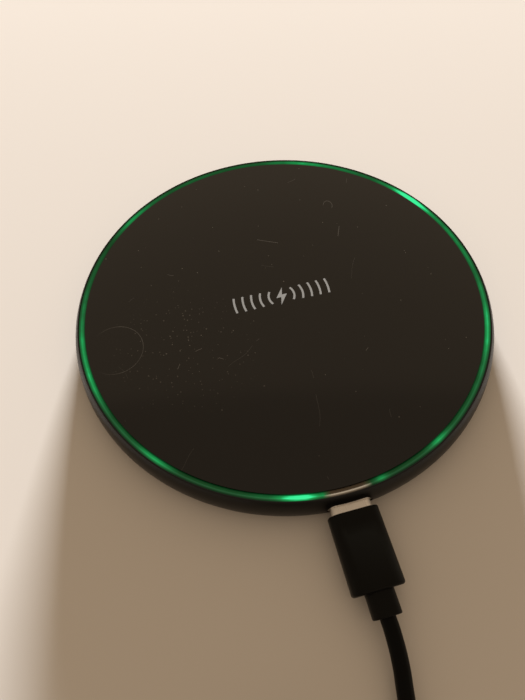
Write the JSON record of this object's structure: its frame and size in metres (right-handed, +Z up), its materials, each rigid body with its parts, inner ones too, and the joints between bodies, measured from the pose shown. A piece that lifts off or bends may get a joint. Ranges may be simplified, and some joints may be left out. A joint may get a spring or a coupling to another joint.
{
  "type": "wireless charging pad",
  "caption": "Round flat wireless phone charging pad with a green light ring round its black top plate, and a plug-in black cord wound in a coil.",
  "frame": {"origin": "centre of the pad's round footprint, on the surface that it stands on", "axes": "+Z up, square to the top plate; the port and the cord's plug face -Y"},
  "size_m": [0.115, 0.2072, 0.0077],
  "materials": {
    "black_abs": "fine moulded texture, matte",
    "black_silicone": "matte silicone",
    "screw_steel": "zinc plated",
    "black_anodised": "black anodised, satin",
    "light_guide": "milky clear light guide, lit green",
    "black_acrylic": "black acrylic, satin, finely scratched",
    "adhesive": "double-sided tape",
    "board_green": "green solder mask",
    "ferrite_grey": "sintered ferrite",
    "litz_copper": "enamelled litz copper",
    "component_blue": "epoxy bead",
    "chip_black": "moulded chip body",
    "ceramic_tan": "ceramic chip",
    "lamp_white": "side-firing lamp",
    "nickel_steel": "nickel plated, satin",
    "connector_black": "glass-filled connector plastic",
    "connector_white": "connector plastic",
    "gold_contact": "gold plated",
    "black_overmould": "satin moulded elastomer",
    "cord_black": "satin cord sheath",
    "tie_black": "plastic-coated wire tie"
  },
  "bodies": {
    "pad": {"base_cover": "black_abs", "anti_slip_ring": "black_silicone", "cover_screws": "screw_steel", "side_frame": "black_anodised", "light_ring": "light_guide", "deck": "black_abs", "plate_tape": "adhesive", "top_plate": "black_acrylic", "main_board": "board_green", "ferrite_tape": "adhesive", "ferrite": "ferrite_grey", "coil_film": "adhesive", "charging_coil": "litz_copper", "coil_leads": "litz_copper", "thermistor": "component_blue", "control_chip": "chip_black", "bridge_chips": "chip_black", "resonant_capacitors": "ceramic_tan", "input_capacitors": "ceramic_tan", "sense_resistor": "chip_black", "small_passives": "ceramic_tan", "status_leds": "lamp_white", "port_shell": "nickel_steel", "port_tongue": "connector_black", "port_contacts": "gold_contact"},
    "cable": {"plug_shell": "nickel_steel", "plug_insulator": "connector_black", "plug_contacts": "gold_contact", "plug_overmold": "black_overmould", "plug_strain_relief": "black_overmould", "cord_lead": "cord_black", "cord_coil": "cord_black", "cord_tail": "cord_black", "cord_ties": "tie_black", "usb_a_strain_relief": "black_overmould", "usb_a_overmold": "black_overmould", "usb_a_shell": "nickel_steel", "usb_a_insulator": "connector_white", "usb_a_contacts": "gold_contact"}
  },
  "joints": [
    {"name": "cable_unplug", "type": "slide", "parent": "pad", "child": "cable", "axis": [0, -1, 0], "range_m": [0, 0.012]}
  ]
}
